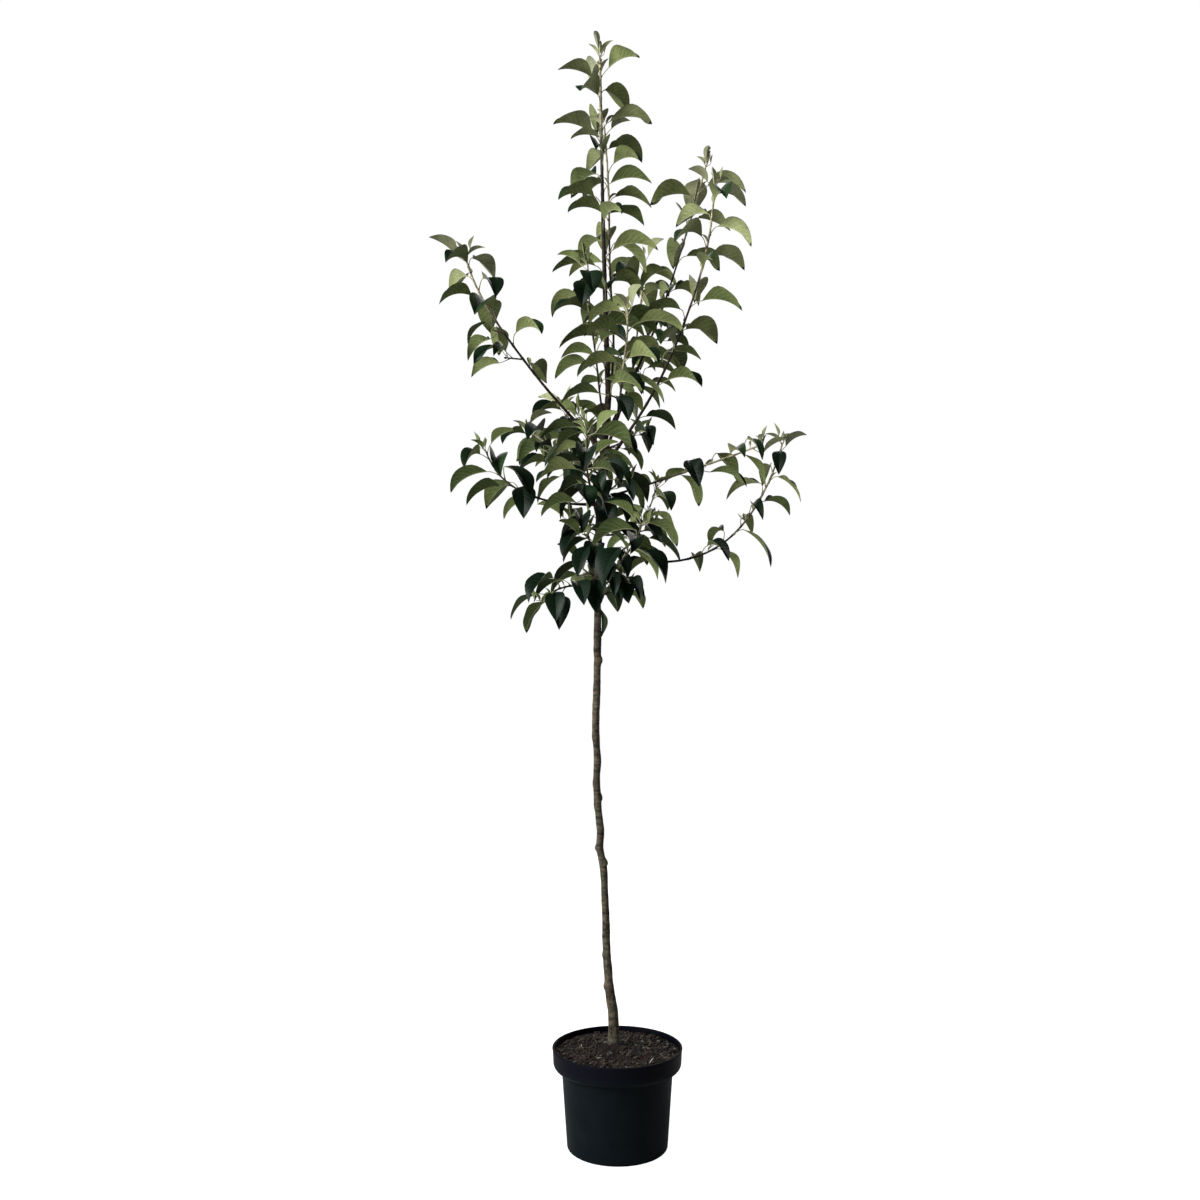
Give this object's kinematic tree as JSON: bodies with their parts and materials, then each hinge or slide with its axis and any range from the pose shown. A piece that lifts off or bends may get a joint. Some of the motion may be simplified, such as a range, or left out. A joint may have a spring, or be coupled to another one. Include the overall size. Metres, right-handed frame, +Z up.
{
  "type": "potted apple tree",
  "caption": "Young apple tree with a slim bare trunk, upswept leafy boughs and a straight leader, in a round nursery pot.",
  "frame": {"origin": "centre of the pot's flat underside", "axes": "+Z up along the trunk, +X to the right and +Y away from the viewer of the picture"},
  "size_m": [0.7647, 0.7113, 2.2086],
  "materials": {
    "pot": "satin black",
    "compost": "loose damp peat and bark",
    "trunk": "young grey-brown bark",
    "boughs": "smooth purple-brown bark",
    "foliage": "leathery leaf"
  },
  "bodies": {
    "root": {"bough_back_low": "boughs", "bough_back_mid": "boughs", "bough_back_upper": "boughs", "bough_front_low": "boughs", "bough_front_mid": "boughs", "bough_front_upper": "boughs", "bough_inner_left": "boughs", "bough_left_inner": "boughs", "bough_left_low": "boughs", "bough_left_mid": "boughs", "bough_left_upper": "boughs", "bough_right_front": "boughs", "bough_right_low": "boughs", "bough_right_mid": "boughs", "bough_right_rear": "boughs", "bough_second_leader": "boughs", "compost": "compost", "leaves_back_low": "foliage", "leaves_back_mid": "foliage", "leaves_back_upper": "foliage", "leaves_front_low": "foliage", "leaves_front_mid": "foliage", "leaves_front_upper": "foliage", "leaves_inner_left": "foliage", "leaves_leader": "foliage", "leaves_left_inner": "foliage", "leaves_left_low": "foliage", "leaves_left_mid": "foliage", "leaves_left_upper": "foliage", "leaves_right_front": "foliage", "leaves_right_low": "foliage", "leaves_right_mid": "foliage", "leaves_right_rear": "foliage", "leaves_second_leader": "foliage", "leaves_spur_front": "foliage", "leaves_spur_high_front": "foliage", "leaves_spur_high_left": "foliage", "leaves_spur_high_right": "foliage", "leaves_spur_low_back": "foliage", "leaves_spur_low_front": "foliage", "leaves_spur_low_right": "foliage", "leaves_spur_mid_front": "foliage", "leaves_spur_mid_left": "foliage", "leaves_spur_mid_rear": "foliage", "leaves_spur_right": "foliage", "pot": "pot", "trunk": "trunk"}
  },
  "joints": []
}
